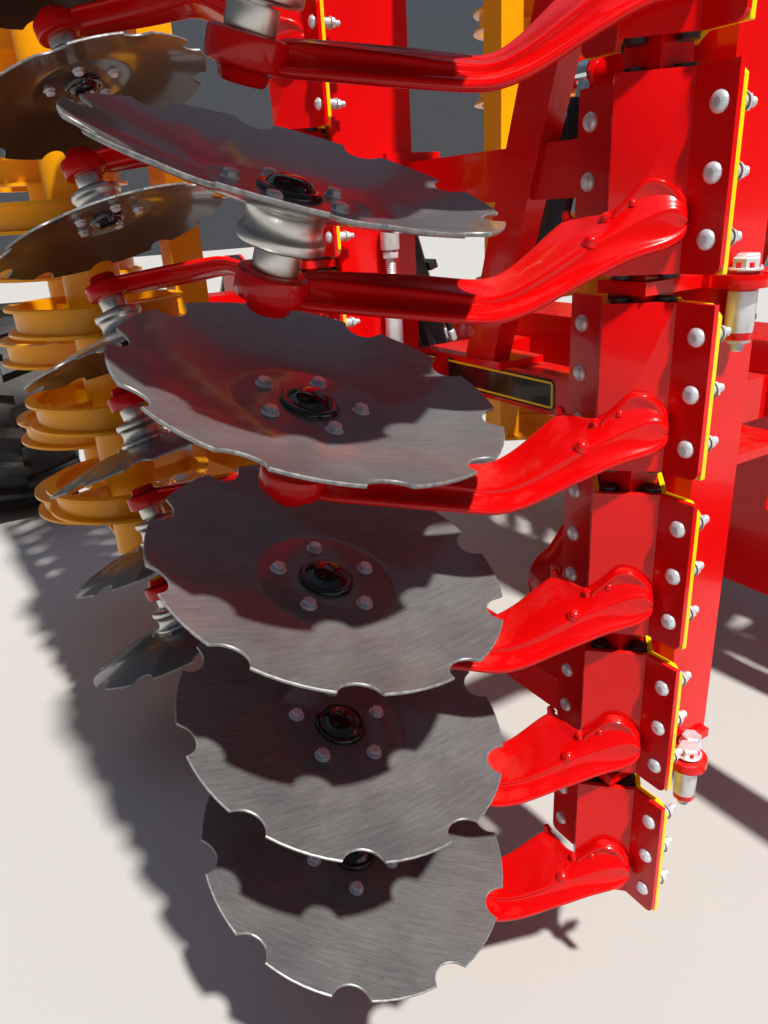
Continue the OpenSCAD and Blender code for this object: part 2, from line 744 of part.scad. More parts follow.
// ---- drawbar
module drawbar() {
  r = 60;
  h0 = bar_z;
  h1 = bar_z + bar_h;
  color([0.75, 0.02, 0.02]) placed() {
    translate([-bar_w / 2, 0, 0]) rotate([90, 0, 90]) linear_extrude(bar_w) {
      polygon([[-bar_y0, h0], [bend_y0, h0], [bend_y1, neck_z], [bar_y1 - r, neck_z],
        [bar_y1, neck_z + r], [bar_y1, neck_z + neck_h], [bend_y1, neck_z + neck_h],
        [bend_y0, h1], [-bar_y0, h1]]);
    }
    // sleeve of the jack
    difference() {
      union() {
        translate([-jack_x, jack_y, h0 - 20]) cylinder(d = jack_d + 24, h = 360);
        block([-jack_x, jack_y - 40, h0 + 30], [-bar_w / 2 + 5, jack_y + 40, h0 + 160]);
      }
      translate([-jack_x, jack_y, h0 - 40]) cylinder(d = jack_d + 2 * fit, h = 350);
    }
  }
}

module hitch_eye() {
  zc = bar_z + bar_h / 2;
  y0 = -bar_y0;
  ye = y0 - 150;
  color([0.2, 0.2, 0.21]) placed() difference() {
    union() {
      block([-bar_w / 2, y0 - 30, zc - 90], [bar_w / 2, y0, zc + 90]);
      block([-45, ye, zc - eye_t / 2], [45, y0 - 20, zc + eye_t / 2]);
      translate([0, ye, zc - eye_t / 2]) cylinder(d = 132, h = eye_t);
    }
    translate([0, ye, zc - eye_t]) cylinder(d = eye_d, h = 2 * eye_t);
  }
}

module jack_leg() {
  color([0.1, 0.1, 0.1]) placed() translate([-jack_x, jack_y, 0]) {
    cylinder(d = 190, h = 14);
    translate([0, 0, 10]) cylinder(d = jack_d, h = 420);
  }
}

// ---- hoses along the drawbar
module hydraulic_hoses() {
  hose_r = 9;
  z0 = bar_z + bar_h + hose_r + 0.3;
  z1 = neck_z + neck_h + hose_r + 0.3;
  run = [bend_y1 - bend_y0, z1 - z0];
  color([0.03, 0.03, 0.03]) placed() {
    for (x = [-41, -20, 20, 41]) {
      bar_y(2 * hose_r, x, z0, -bar_y0 + 30, bend_y0);
      bar_y(2 * hose_r, x, z1, bend_y1, 90);
      translate([x, bend_y0, z0]) sphere(hose_r);
      translate([x, bend_y1, z1]) sphere(hose_r);
      translate([x, bend_y0, z0]) rotate([-atan2(run[0], run[1]), 0, 0]) cylinder(r = hose_r, h = norm(run));
    }
  }
}

// ---- axle
module axle_frame() {
  y0 = axle_pin[0];
  z0 = axle_pin[1];
  za = tyre_d / 2;
  inner_w = track_x - wheel_w / 2 - 40;
  color([0.75, 0.02, 0.02]) placed() {
    bar_x(70, -390, 390, y0, z0);
    for (x = [-380, 300]) {
      plate_x([[y0 - 60, z0 + 30], [y0 - 30, z0 + 60], [y0 + 60, z0 + 60],
        [axle_y + 60, za + 70], [axle_y + 60, za - 70], [axle_y - 60, za - 70],
        [y0 + 60, z0 - 70], [y0 - 30, z0 - 60], [y0 - 60, z0 - 30]], x, x + 80);
    }
    bar_x(140, -inner_w, inner_w, axle_y, za);
    bar_x(axle_stub_d, -track_x - 60, track_x + 60, axle_y, za);
    for (x = [-eye_w / 2 - 3 - plate_t, eye_w / 2 + 3]) {
      plate_x([[axle_y - 30, za], [lift_lug[0] - 40, lift_lug[1] - 20], [lift_lug[0] - 36, lift_lug[1] + 30],
        [lift_lug[0] + 20, lift_lug[1] + 40], [axle_y + 50, za + 30]], x, x + plate_t);
      head_x = x < 0 ? x - 8 : x + plate_t;
      bar_x(pin_d + 14, head_x, head_x + 8, lift_lug[0], lift_lug[1]);
    }
  }
}

// ---- wheels, drawn with the axle along z
module at_wheel(s) {
  on_side(s) translate([-track_x, axle_y, tyre_d / 2]) rotate([0, -90, 0]) children();
}

module wheel_rim(s) {
  r = rim_d / 2;
  h = wheel_w / 2;
  color([0.85, 0.85, 0.85]) at_wheel(s) difference() {
    union() {
      rotate_extrude() polygon([[r, -h], [r + 22, -h], [r + 22, -h - 10], [r - 12, -h - 10],
        [r - 40, -h + 60], [r - 40, h - 60], [r - 12, h + 10], [r + 22, h + 10], [r + 22, h],
        [r, h], [r, h - 30], [r - 26, h - 62], [r - 26, 62 - h], [r, 30 - h]]);
      translate([0, 0, 40]) cylinder(r = r - 30, h = 16);
      translate([0, 0, -40]) cylinder(d = 190, h = 130);
    }
    translate([0, 0, -60]) cylinder(d = axle_stub_d + 2 * fit, h = 130);
  }
}

module tyre(s) {
  r = rim_d / 2;
  h = wheel_w / 2;
  w = tyre_w / 2;
  base_r = tyre_d / 2 - 38;
  color([0.05, 0.05, 0.05]) at_wheel(s) {
    rotate_extrude() polygon([[r, -h], [r + 23, -h], [r + 23, -h - 12], [r + 60, -h - 25],
      [base_r - 60, 4 - w], [base_r - 16, 26 - w], [base_r, 70 - w], [base_r, w - 70],
      [base_r - 16, w - 26], [base_r - 60, w - 4], [r + 60, h + 25], [r + 23, h + 12],
      [r + 23, h], [r, h], [r, h - 30], [r + 40, h - 36], [base_r - 60, w - 60],
      [base_r - 60, 60 - w], [r + 40, 36 - h], [r, 30 - h]]);
    for (side = [0, 1], i = [0 : lugs - 1]) {
      mirror([0, 0, side]) rotate([0, 0, (i + side / 2) * 360 / lugs]) lug(base_r, w);
    }
  }
}

// one slanting tread bar
module lug(base_r, w) {
  translate([base_r - 14, 0, 0]) rotate([90, 0, 90]) linear_extrude(tyre_d / 2 - base_r + 12)
    polygon([[-52, -12], [-8, -12], [58, w - 18], [8, w - 18]]);
}

module wheel_rim_right() wheel_rim(right);
module wheel_rim_left() wheel_rim(left);
module tyre_right() tyre(right);
module tyre_left() tyre(left);

main_frame();
drawbar();
hitch_eye();
hydraulic_hoses();
jack_leg();
axle_frame();
wheel_rim_right();
tyre_right();
wheel_rim_left();
tyre_left();
lift_barrel();
lift_rod();
wing_frame_right();
clamp_outers_right();
clamp_inners_right();
rubber_rods_right();
disc_arms_right();
roller_frame_right();
roller_front_right();
roller_rear_right();
fold_barrel_right();
fold_rod_right();
wing_frame_left();
clamp_outers_left();
clamp_inners_left();
rubber_rods_left();
disc_arms_left();
roller_frame_left();
roller_front_left();
roller_rear_left();
fold_barrel_left();
fold_rod_left();
disc_right_front_1();
disc_right_front_2();
disc_right_front_3();
disc_right_front_4();
disc_right_front_5();
disc_right_front_6();
disc_right_front_7();
disc_right_rear_1();
disc_right_rear_2();
disc_right_rear_3();
disc_right_rear_4();
disc_right_rear_5();
disc_right_rear_6();
disc_right_rear_7();
disc_left_front_1();
disc_left_front_2();
disc_left_front_3();
disc_left_front_4();
disc_left_front_5();
disc_left_front_6();
disc_left_front_7();
disc_left_rear_1();
disc_left_rear_2();
disc_left_rear_3();
disc_left_rear_4();
disc_left_rear_5();
disc_left_rear_6();
disc_left_rear_7();
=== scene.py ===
import bpy, bmesh, json, math
from itertools import product
from mathutils import Matrix, Vector


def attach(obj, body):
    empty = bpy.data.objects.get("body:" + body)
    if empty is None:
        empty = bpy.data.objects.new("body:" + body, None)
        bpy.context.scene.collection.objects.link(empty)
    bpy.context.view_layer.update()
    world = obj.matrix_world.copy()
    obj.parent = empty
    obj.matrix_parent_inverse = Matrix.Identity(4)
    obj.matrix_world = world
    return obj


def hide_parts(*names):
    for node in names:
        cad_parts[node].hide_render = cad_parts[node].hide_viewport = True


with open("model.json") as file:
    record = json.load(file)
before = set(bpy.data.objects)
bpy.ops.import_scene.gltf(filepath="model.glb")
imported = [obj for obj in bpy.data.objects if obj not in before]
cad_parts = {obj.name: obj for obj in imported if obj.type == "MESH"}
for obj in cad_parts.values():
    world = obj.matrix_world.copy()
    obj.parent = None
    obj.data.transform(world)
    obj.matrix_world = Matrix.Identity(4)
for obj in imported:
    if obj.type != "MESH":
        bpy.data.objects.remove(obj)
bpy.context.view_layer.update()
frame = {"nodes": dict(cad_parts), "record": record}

# Metres, unless a comment says otherwise.
Y0 = -0.8205          # front gang tube along Y
TUBE = 0.600          # gang tubes from the centre plane
ROW = 0.920           # rear row behind the front row
PITCH = 0.250         # from one disc to the next along a gang
CLAMP_Z = 0.350       # lowest clamp above the ground
N = 7                 # discs in a row
ROWS = ("front", "rear")
SIDES = {"right": -1, "left": 1}
IDENTITY = Matrix.Identity(4)
nodes = frame["nodes"]


def mm(x): return x / 1000.0    # a length in mm, in metres


def spin(angle): return Matrix.Rotation(angle, 4, "Z")


# ---------------------------------------------------------------- camera
# The photograph's camera, from a fit to the flange bolts and the disc centres.
yaw, pitch, roll = (math.radians(a) for a in (30.42, 22.07, 3.45))
CAM_AT = Vector((-1.3995, -0.6804 + Y0, 1.3374))
FOCAL_PX, PHOTO_PX, SENSOR_MM = 756.4, 1024, 36
ahead = Vector((math.sin(yaw), math.cos(yaw), 0))
aside = Vector((math.cos(yaw), -math.sin(yaw), 0))
above = Vector((0, 0, 1))
look = ahead * math.cos(pitch) - above * math.sin(pitch)
down = -(above * math.cos(pitch) + ahead * math.sin(pitch))
cam_right = aside * math.cos(roll) + down * math.sin(roll)
cam_down = -aside * math.sin(roll) + down * math.cos(roll)
cam_data = bpy.data.cameras.new("camera")
cam = bpy.data.objects.new("camera", cam_data)
bpy.context.scene.collection.objects.link(cam)
cam.matrix_world = Matrix.Translation(CAM_AT) @ Matrix((cam_right, -cam_down, -look)).transposed().to_4x4()
cam_data.sensor_fit = "AUTO"
cam_data.sensor_width = SENSOR_MM
cam_data.lens = FOCAL_PX * SENSOR_MM / PHOTO_PX
cam_data.clip_start, cam_data.clip_end = 0.05, 200
bpy.context.scene.camera = cam


# ---------------------------------------------------------------- materials
def new_mat(name):
    mat = bpy.data.materials.new(name)
    mat.use_nodes = True
    nt = mat.node_tree
    return mat, nt, nt.nodes["Principled BSDF"]


def node(nt, kind, **kw):
    """Adds a node; each keyword is a property, or the default of the input of that name."""
    n = nt.nodes.new(kind)
    for k, v in kw.items():
        if k in n.inputs: n.inputs[k].default_value = v
        else: setattr(n, k, v)
    return n


def grey(v): return (v,) * 3


def noise(nt, scale, detail=4.0, rough=0.55, stretch=(1, 1, 1)):
    """Noise from 0 to 1 in the piece's own space."""
    co = node(nt, "ShaderNodeTexCoord")
    mp = node(nt, "ShaderNodeMapping", Scale=stretch)
    nt.links.new(co.outputs["Object"], mp.inputs["Vector"])
    n = node(nt, "ShaderNodeTexNoise", Scale=scale, Detail=detail, Roughness=rough)
    nt.links.new(mp.outputs[0], n.inputs["Vector"])
    return n.outputs["Fac"]


def ramp(nt, src, a, b, ca, cb):
    """Colour ca up to a and cb from b on."""
    r = node(nt, "ShaderNodeValToRGB")
    for stop, at, color in zip(r.color_ramp.elements, (a, b), (ca, cb)):
        stop.position, stop.color = at, (*color, 1)
    nt.links.new(src, r.inputs[0])
    return r.outputs[0]


def mix(nt, a, b, factor, blend="MIX"):
    """Mixed colour; each of a, b and factor is an output or a plain value."""
    n = node(nt, "ShaderNodeMix", data_type="RGBA", blend_type=blend)
    for name, value in (("Factor", factor), ("A", a), ("B", b)):
        if isinstance(value, bpy.types.NodeSocket): nt.links.new(value, n.inputs[name])
        else: n.inputs[name].default_value = value
    return n.outputs["Result"]


def facing_up(nt):
    """The Z part of the surface's normal."""
    geo, xyz = node(nt, "ShaderNodeNewGeometry"), node(nt, "ShaderNodeSeparateXYZ")
    nt.links.new(geo.outputs["Normal"], xyz.inputs[0])
    return xyz.outputs["Z"]


def bump(nt, src, bsdf, strength, depth):
    b = node(nt, "ShaderNodeBump", Strength=strength, Distance=depth)
    nt.links.new(src, b.inputs["Height"])
    nt.links.new(b.outputs[0], bsdf.inputs["Normal"])


def set_inputs(bsdf, **kw):
    """Plain values on the shader's sockets; _ in a keyword stands for a space."""
    for k, v in kw.items(): bsdf.inputs[k.replace("_", " ")].default_value = v


def paint(name, lo, hi, rough=(0.16, 0.30), coat=0.28, peel=0.12, dust=None):
    """Sprayed paint: slight mottle, orange peel and a film of dust on the upper faces."""
    mat, nt, b = new_mat(name)
    color = ramp(nt, noise(nt, 3.0, 5), 0.35, 0.7, lo, hi)
    if dust:
        lies = node(nt, "ShaderNodeMath", operation="MULTIPLY")
        nt.links.new(facing_up(nt), lies.inputs[0])
        nt.links.new(noise(nt, 14.0, 9, 0.75), lies.inputs[1])
        color = mix(nt, color, (*dust, 1), ramp(nt, lies.outputs[0], 0.40, 0.78, grey(0), grey(0.35)))
    nt.links.new(color, b.inputs["Base Color"])
    nt.links.new(ramp(nt, noise(nt, 9.0, 8, 0.7), 0.35, 0.75, *map(grey, rough)), b.inputs["Roughness"])
    set_inputs(b, Specular_IOR_Level=0.22, Coat_Weight=coat, Coat_Roughness=0.05)
    bump(nt, noise(nt, 260.0, 2), b, peel, 0.0006)
    return mat


def metal(name, lo, hi, rough, scale=60.0, metallic=1.0, relief=0.06):
    """Metal with cloudy colour, uneven gloss and a fine grain."""
    mat, nt, b = new_mat(name)
    set_inputs(b, Metallic=metallic)
    nt.links.new(ramp(nt, noise(nt, scale, 6), 0.3, 0.7, lo, hi), b.inputs["Base Color"])
    nt.links.new(ramp(nt, noise(nt, scale * 2, 4), 0.3, 0.7, *map(grey, rough)), b.inputs["Roughness"])
    bump(nt, noise(nt, scale * 8, 2), b, relief, 0.0004)
    return mat


def rubber(name, lo, hi, rough):
    mat, nt, b = new_mat(name)
    nt.links.new(ramp(nt, noise(nt, 14.0, 6), 0.35, 0.7, lo, hi), b.inputs["Base Color"])
    set_inputs(b, Roughness=rough)
    bump(nt, noise(nt, 420.0, 3), b, 0.25, 0.0006)
    return mat


def disc_material():
    """Thin black lacquer over rolled steel: drawn grain and pale scuffs under the dust of the upper faces. The
    faces that look down stay near-black lacquer, partly their own colour and partly painted shade on the discs'
    undersides.
    """
    mat, nt, b = new_mat("disc lacquer")
    grain = noise(nt, 26.0, 10, 0.8, (1.0, 14.0, 1.0))
    cloud = noise(nt, 4.5, 8, 0.65)
    drawn = ramp(nt, grain, 0.34, 0.70, (0.095, 0.094, 0.096), (0.215, 0.213, 0.208))
    shade = ramp(nt, cloud, 0.34, 0.72, (0.62, 0.60, 0.64), (1.0, 1.0, 0.98))
    scuff = ramp(nt, noise(nt, 60.0, 12, 0.85, (3.0, 1.0, 1.0)), 0.655, 0.70, grey(0), grey(0.6))
    dusty = mix(nt, mix(nt, drawn, shade, 1.0, "MULTIPLY"), (0.30, 0.29, 0.27, 1), scuff)
    # dust lies on the faces that look up; the faces that look down keep their black gloss, partly their own
    # lacquer and partly painted shade on the undersides
    dust = ramp(nt, facing_up(nt), 0.0, 0.55, grey(0), grey(1))
    nt.links.new(mix(nt, (0.012, 0.011, 0.015, 1), dusty, dust), b.inputs["Base Color"])
    nt.links.new(ramp(nt, cloud, 0.3, 0.75, grey(0.28), grey(0.50)), b.inputs["Roughness"])
    set_inputs(b, Specular_IOR_Level=0.35, Coat_Weight=0.6, Coat_IOR=1.5)
    nt.links.new(ramp(nt, grain, 0.3, 0.7, grey(0.05), grey(0.14)), b.inputs["Coat Roughness"])
    bump(nt, noise(nt, 11.0, 3, 0.5), b, 0.35, 0.0016)
    return mat


RED = paint("red paint", (0.62, 0.0012, 0.0016), (0.78, 0.0020, 0.0022), dust=(0.40, 0.16, 0.12))
YELLOW = paint("yellow paint", (0.86, 0.60, 0.004), (0.95, 0.68, 0.008))
ROLLER = paint("roller paint", (0.86, 0.34, 0.0010), (0.96, 0.43, 0.002), rough=(0.25, 0.42), coat=0.15,
               dust=(0.70, 0.45, 0.16))
BLACK = paint("black paint", (0.006, 0.006, 0.007), (0.012, 0.012, 0.014))
RIM = paint("rim paint", (0.52, 0.52, 0.50), (0.62, 0.62, 0.60), rough=(0.3, 0.45), coat=0.3)
CAP = paint("glossy black", (0.006, 0.006, 0.007), (0.012, 0.012, 0.013), rough=(0.08, 0.16), coat=0.9,
            peel=0.04)
ZINC = metal("zinc plated", (0.60, 0.62, 0.66), (0.84, 0.86, 0.90), (0.30, 0.48), 45.0, 0.5)
STEEL = metal("turned steel", (0.62, 0.61, 0.57), (0.74, 0.73, 0.69), (0.30, 0.42), 25.0, relief=0.01)
CHROME = metal("chromed rod", (0.70, 0.70, 0.72), (0.80, 0.80, 0.82), (0.06, 0.12))
CAST = metal("cast steel", (0.06, 0.06, 0.06), (0.12, 0.115, 0.11), (0.45, 0.65), 30, 0.7)
EDGE = metal("ground edge", (0.15, 0.15, 0.15), (0.34, 0.335, 0.33), (0.38, 0.58), 120.0, 0.5)
TYRE = rubber("tyre rubber", (0.012, 0.012, 0.012), (0.035, 0.033, 0.030), 0.62)
RUBBER = rubber("black rubber", (0.010, 0.010, 0.010), (0.020, 0.020, 0.020), 0.42)
DISC = disc_material()

by_slot = {"red_paint": RED, "yellow_paint": YELLOW, "roller_paint": ROLLER, "black_paint": BLACK,
           "rim_paint": RIM, "disc_steel": DISC, "chromed_rod": CHROME, "cast_steel": CAST,
           "hose_rubber": RUBBER, "rod_rubber": RUBBER, "tyre_rubber": TYRE}
for part in frame["record"]["subparts"]:
    o, mat = nodes[part["node"]], by_slot[part["material_slot"]]
    if not o.material_slots: o.data.materials.append(mat)
    for material_slot in o.material_slots: material_slot.material = mat

# ---------------------------------------------------------------- edges of the plate work
EDGE_MM = {"wing_frame": 3.5, "clamp_outers": 2.0, "clamp_inners": 1.2, "roller_frame": 3.0, "main_frame": 4.0,
           "drawbar": 4.0, "axle_frame": 4.0}
SAME_POINT = 0.00002
SHARP_FROM = math.radians(38)
for kind, width in EDGE_MM.items():
    for name, o in nodes.items():
        if name != kind and not name.startswith(kind + "_"): continue
        o.modifiers.new("weld", "WELD").merge_threshold = SAME_POINT
        bevel = o.modifiers.new("edges", "BEVEL")
        bevel.width, bevel.segments = width / 1000, 2
        bevel.limit_method, bevel.angle_limit = "ANGLE", SHARP_FROM


# ---------------------------------------------------------------- mesh tools
def outward(me):
    """Turns all faces outward."""
    bm = bmesh.new()
    bm.from_mesh(me)
    bmesh.ops.recalc_face_normals(bm, faces=bm.faces)
    bm.to_mesh(me)
    bm.free()


def mesh(name, verts, faces, face_mats, mats, angle):
    """Smooth mesh, sharp where faces meet at more than angle degrees."""
    me = bpy.data.meshes.new(name)
    me.from_pydata([tuple(v) for v in verts], [], faces)
    for mat in mats: me.materials.append(mat)
    for face, k in zip(me.polygons, face_mats): face.material_index = k
    outward(me)
    for face in me.polygons: face.use_smooth = True
    me.set_sharp_from_angle(angle=math.radians(angle))
    return me


class Heap:
    """Many parts joined in one mesh. A part is its vertices, its faces and, where they differ, the
    number of each face's material."""
    def __init__(self): self.v, self.f, self.m = [], [], []

    def add(self, part, matrix, mat=0):
        v, f, *face_mats = part
        n = len(self.v)
        self.v += [matrix @ p for p in v]
        self.f += [tuple(i + n for i in q) for q in f]
        self.m += face_mats[0] if face_mats else [mat] * len(f)

    def piece(self, name, mats, body, slot, angle=35):
        o = bpy.data.objects.new(name, mesh(name, self.v, self.f, self.m, mats, angle))
        bpy.context.scene.collection.objects.link(o)
        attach(o, body)
        return o


def skin(rings, n):
    """Faces that join each ring of n vertices to the next."""
    return [(k * n + i, k * n + (i + 1) % n, (k + 1) * n + (i + 1) % n, (k + 1) * n + i)
            for k in range(rings - 1) for i in range(n)]


def close_ring(v, f, base, n, order=1):
    """Closes the ring of n vertices from base on with triangles to its middle."""
    v.append(sum((v[base + j] for j in range(n)), Vector()) / n)
    f += [(base + j, base + (j + 1) % n, len(v) - 1)[::order] for j in range(n)]


def lathe(profile, seg=24):
    """Turned shape about z from (r, z) points; r 0 ends it in a point."""
    v, f, rings = [], [], []
    for r, z in profile:
        first = len(v)
        if r < 1e-6:
            rings.append([first])
            v.append(Vector((0, 0, z)))
            continue
        rings.append(list(range(first, first + seg)))
        turns = [2 * math.pi * i / seg for i in range(seg)]
        v += [Vector((r * math.cos(a), r * math.sin(a), z)) for a in turns]
    for a, b in zip(rings, rings[1:]):
        for i in range(seg):
            j = (i + 1) % seg
            if len(a) == 1: f.append((a[0], b[i], b[j]))
            elif len(b) == 1: f.append((a[i], b[0], a[j]))
            else: f.append((a[i], b[i], b[j], a[j]))
    return v, f


def lathe_mm(profile, seg): return lathe([(mm(r), mm(z)) for r, z in profile], seg)


def screw(z0, step, crests, tip, root):
    """Profile of a thread: rings a step apart, in turn at its root and its tip."""
    return [(tip if i % 2 else root, z0 + step * i) for i in range(crests)]


def frame_from(z, at, x=None):
    """Matrix that takes z to the given direction and the origin to at."""
    z = Vector(z).normalized()
    if x is None: x = (0, 0, 1) if abs(z.z) < 0.9 else (1, 0, 0)
    x = Vector(x)
    x = (x - z * x.dot(z)).normalized()
    turned = Matrix((x, z.cross(x), z)).transposed().to_4x4()
    turned.translation = Vector(at)
    return turned


def station(s, row, k):
    """Matrix from a clamp's own frame to the world: x from the gang tube to the centre plane, z up in
    the front row and down in the rear row."""
    up = 1 if row == 0 else -1
    return Matrix(((-s, 0, 0, s * TUBE), (0, 1, 0, Y0 + row * ROW), (0, 0, up, CLAMP_Z + k * PITCH),
                   (0, 0, 0, 1)))


# ---------------------------------------------------------------- flange bolts
CLAMP_FACE, FLANGE_BOLT = 97, 24.5      # mm; clamp face from the gang tube, bolt line from the bend
FLANGE_T = mm(8)
BOLT_GAP = mm(69.8)
MARKS, MARK_R, MARK_Z = 9, mm(5.2), mm(6.0)    # raised marks pressed in the domed head
bolt_y = mm(CLAMP_FACE / math.sqrt(2)) + mm(FLANGE_BOLT)
dome = lathe_mm([(0, 6.4), (3.4, 6.4), (6.2, 5.9), (8.8, 4.6), (10.8, 2.6), (11.7, 0.9), (11.8, 0)], 24)
mark = lathe_mm([(0, 0.5), (1.1, 0.3), (1.3, -1.2)], 5)
nut = lathe_mm([(0, 9), (8.6, 9), (9.8, 8.2), (9.8, 0)], 6)
washer = lathe_mm([(0, 1.6), (11.4, 1.6), (12, 1.2), (12, 0)], 16)
bush = lathe_mm([(0, 21), (9.2, 21), (9.2, 0)], 14)
thread = lathe_mm([(0, 12), (4.8, 12)] + screw(11.5, -1.6, 7, 6.0, 5.2) + [(5.2, 0)], 10)
BEHIND = ((bush, 0), (washer, mm(21)), (nut, mm(22.6)), (thread, mm(31)))    # depth behind the inner flange
for side, s in SIDES.items():
    heap = Heap()
    for row, k, e, j in product((0, 1), range(N), (-1, 1), (-1, 0, 1)):
        y, z = Y0 + row * ROW + e * bolt_y, CLAMP_Z + k * PITCH + BOLT_GAP * j
        turned = spin(0.37 * (k * 3 + j + 5 * row))
        head = frame_from((s, 0, 0), (s * (TUBE + FLANGE_T), y, z))
        heap.add(dome, head)
        for part, depth in BEHIND:
            place = frame_from((-s, 0, 0), (s * (TUBE - FLANGE_T) - s * depth, y, z))
            heap.add(part, place @ turned if part is nut else place)
        for i in range(MARKS):
            a = 2 * math.pi * i / MARKS
            place = Matrix.Translation((MARK_R * math.cos(a), MARK_R * math.sin(a), MARK_Z))
            heap.add(mark, head @ turned @ place)
    heap.piece(f"flange_bolts_{side}", [ZINC], f"wing_{side}", "disc_steel")

# ---------------------------------------------------------------- discs
DISC_R, DISC_T = 0.2485, 0.005
NOTCHES, NOTCH_TURN = 10, 28            # the turn in degrees
NOTCH_STEP = 360 // NOTCHES
NOTCH_R = 0.0288
NOTCH_AT = DISC_R - 0.0225 + NOTCH_R    # middle of the notch's circle
FLAT, DISH = 0.095, 0.0366              # flat middle's radius, height of the dish
BLEND_R = 0.200                         # from here outward the rings take on the rim's notches
DISC_AT = Vector((-0.3933, 0.1818, 0.0072))
DISC_N = Vector((0.177, -0.301, 0.937)).normalized()
TURNS = ((19, 63, 66, 42, 2, 33, 57), (10, 33, 66, 5, 48, 27, 59))    # degrees, by row and disc
HUB_BOLTS, BOLT_CIRCLE_R = 5, 0.0682
tilt = spin(math.atan2(DISC_N.y, DISC_N.x)) @ Matrix.Rotation(math.acos(DISC_N.z), 4, "Y")


def rim_r(a):
    """Rim's radius at angle a."""
    d = (math.degrees(a) - NOTCH_TURN) % NOTCH_STEP
    d = math.radians(min(d, NOTCH_STEP - d))
    root = NOTCH_R ** 2 - (NOTCH_AT * math.sin(d)) ** 2
    return min(DISC_R, NOTCH_AT * math.cos(d) - math.sqrt(root)) if root > 0 else DISC_R


def dish(r):
    """Height of the front face at radius r."""
    if r <= FLAT: return 0.0
    u = (r - FLAT) / (DISC_R - FLAT)
    return DISH * (u ** 1.45 * 0.55 + u * 0.45)


def round_ring(r, rise=0.0): return lambda a: (r, dish(r) + rise)


def rim_ring(inset, drop):
    def place(a):
        r = rim_r(a) - inset
        return r, dish(r) - drop
    return place


def blend_ring(t, inset, drop):
    def place(a):
        r = BLEND_R + t * (rim_r(a) - inset - BLEND_R)
        return r, dish(r) - drop
    return place


def blade():
    """Notched dished blade: faces 0 lacquer, 1 bare ground edge."""
    half = math.asin(NOTCH_R * 0.9999 / NOTCH_AT)
    angles = []
    for i in range(NOTCHES):
        c = math.radians(NOTCH_TURN + NOTCH_STEP * i)
        angles += [c + half * math.sin(math.pi / 2 * t / 5) for t in range(-5, 6)]
        lo, hi = c + half, c + math.radians(NOTCH_STEP) - half
        angles += [lo + (hi - lo) * t / 5 for t in range(1, 5)]
    n = len(angles)
    front = [round_ring(0.036), round_ring(0.0935, 0.0006)]
    front += [round_ring(r) for r in (0.0965, 0.104, 0.118, 0.138, 0.160, 0.182, BLEND_R)]
    front += [blend_ring(t, 0.0021, 0) for t in (0.45, 0.8)]
    ground = [rim_ring(0.0018, 0), rim_ring(0, 0.0012), rim_ring(0, 0.0036), rim_ring(0.0012, DISC_T)]
    back = [blend_ring(0.5, 0, DISC_T)]
    back += [round_ring(r, -DISC_T) for r in (BLEND_R, 0.150, 0.110, 0.094, 0.040)]
    v = []
    for place, a in product(front + ground + back, angles):
        r, z = place(a)
        v.append(Vector((r * math.cos(a), r * math.sin(a), z)))
    bands = len(front) * [0] + (len(ground) - 1) * [1] + len(back) * [0]
    return v, skin(len(bands) + 1, n), [band for band in bands for _ in range(n)]


hex_head = lathe([(0, 0.0082), (0.0070, 0.0082), (0.0084, 0.0074), (0.0098, 0.0062), (0.0100, 0.0010),
                  (0.0100, 0)], 6)
hex_disc = lathe([(0, 0.0014), (0.0105, 0.0014), (0.0118, 0.0008), (0.0120, 0)], 20)
bolt_end = lathe([(0.0062, -0.0049), (0.0062, -0.0085), (0.0050, -0.0092), (0, -0.0092)], 12)
cap = lathe([(0.0395, 0), (0.0388, 0.0040), (0.0365, 0.0068), (0.0335, 0.0074), (0.0305, 0.0066),
             (0.0290, 0.0080), (0.0268, 0.0118), (0.0215, 0.0160), (0.0140, 0.0182), (0, 0.0190)], 40)
hub = lathe([(0.0350, -0.0049), (0.0575, -0.0049), (0.0580, -0.0060), (0.0580, -0.0120), (0.0570, -0.0140),
             (0.0530, -0.0160), (0.0500, -0.0190), (0.0475, -0.0250), (0.0465, -0.0320), (0.0470, -0.0380),
             (0.0490, -0.0430), (0.0520, -0.0465), (0.0530, -0.0485), (0.0530, -0.0560), (0.0520, -0.0585),
             (0.0480, -0.0610), (0.0400, -0.0628), (0.0300, -0.0630), (0.0290, -0.0600), (0.0205, -0.0600)], 56)
# numbers of the materials on a disc's mesh; its blade has 0 and 1
DISC_MATS = (DISC, EDGE, CAP, ZINC, STEEL)
CAP_M, ZINC_M, STEEL_M = 2, 3, 4


def disc_mesh(name, mirror):
    heap = Heap()
    heap.add(blade(), mirror)
    heap.add(cap, mirror, CAP_M)
    for i in range(HUB_BOLTS):
        at = mirror @ spin(math.radians(360 / HUB_BOLTS * i)) @ Matrix.Translation((BOLT_CIRCLE_R, 0, 0))
        heap.add(hex_disc, at, ZINC_M)
        heap.add(hex_head, at @ Matrix.Translation((0, 0, 0.0012)) @ spin(0.5 + 1.3 * i), ZINC_M)
        heap.add(bolt_end, at, ZINC_M)
    heap.add(hub, mirror, STEEL_M)
    return mesh(name, heap.v, heap.f, heap.m, DISC_MATS, 32)


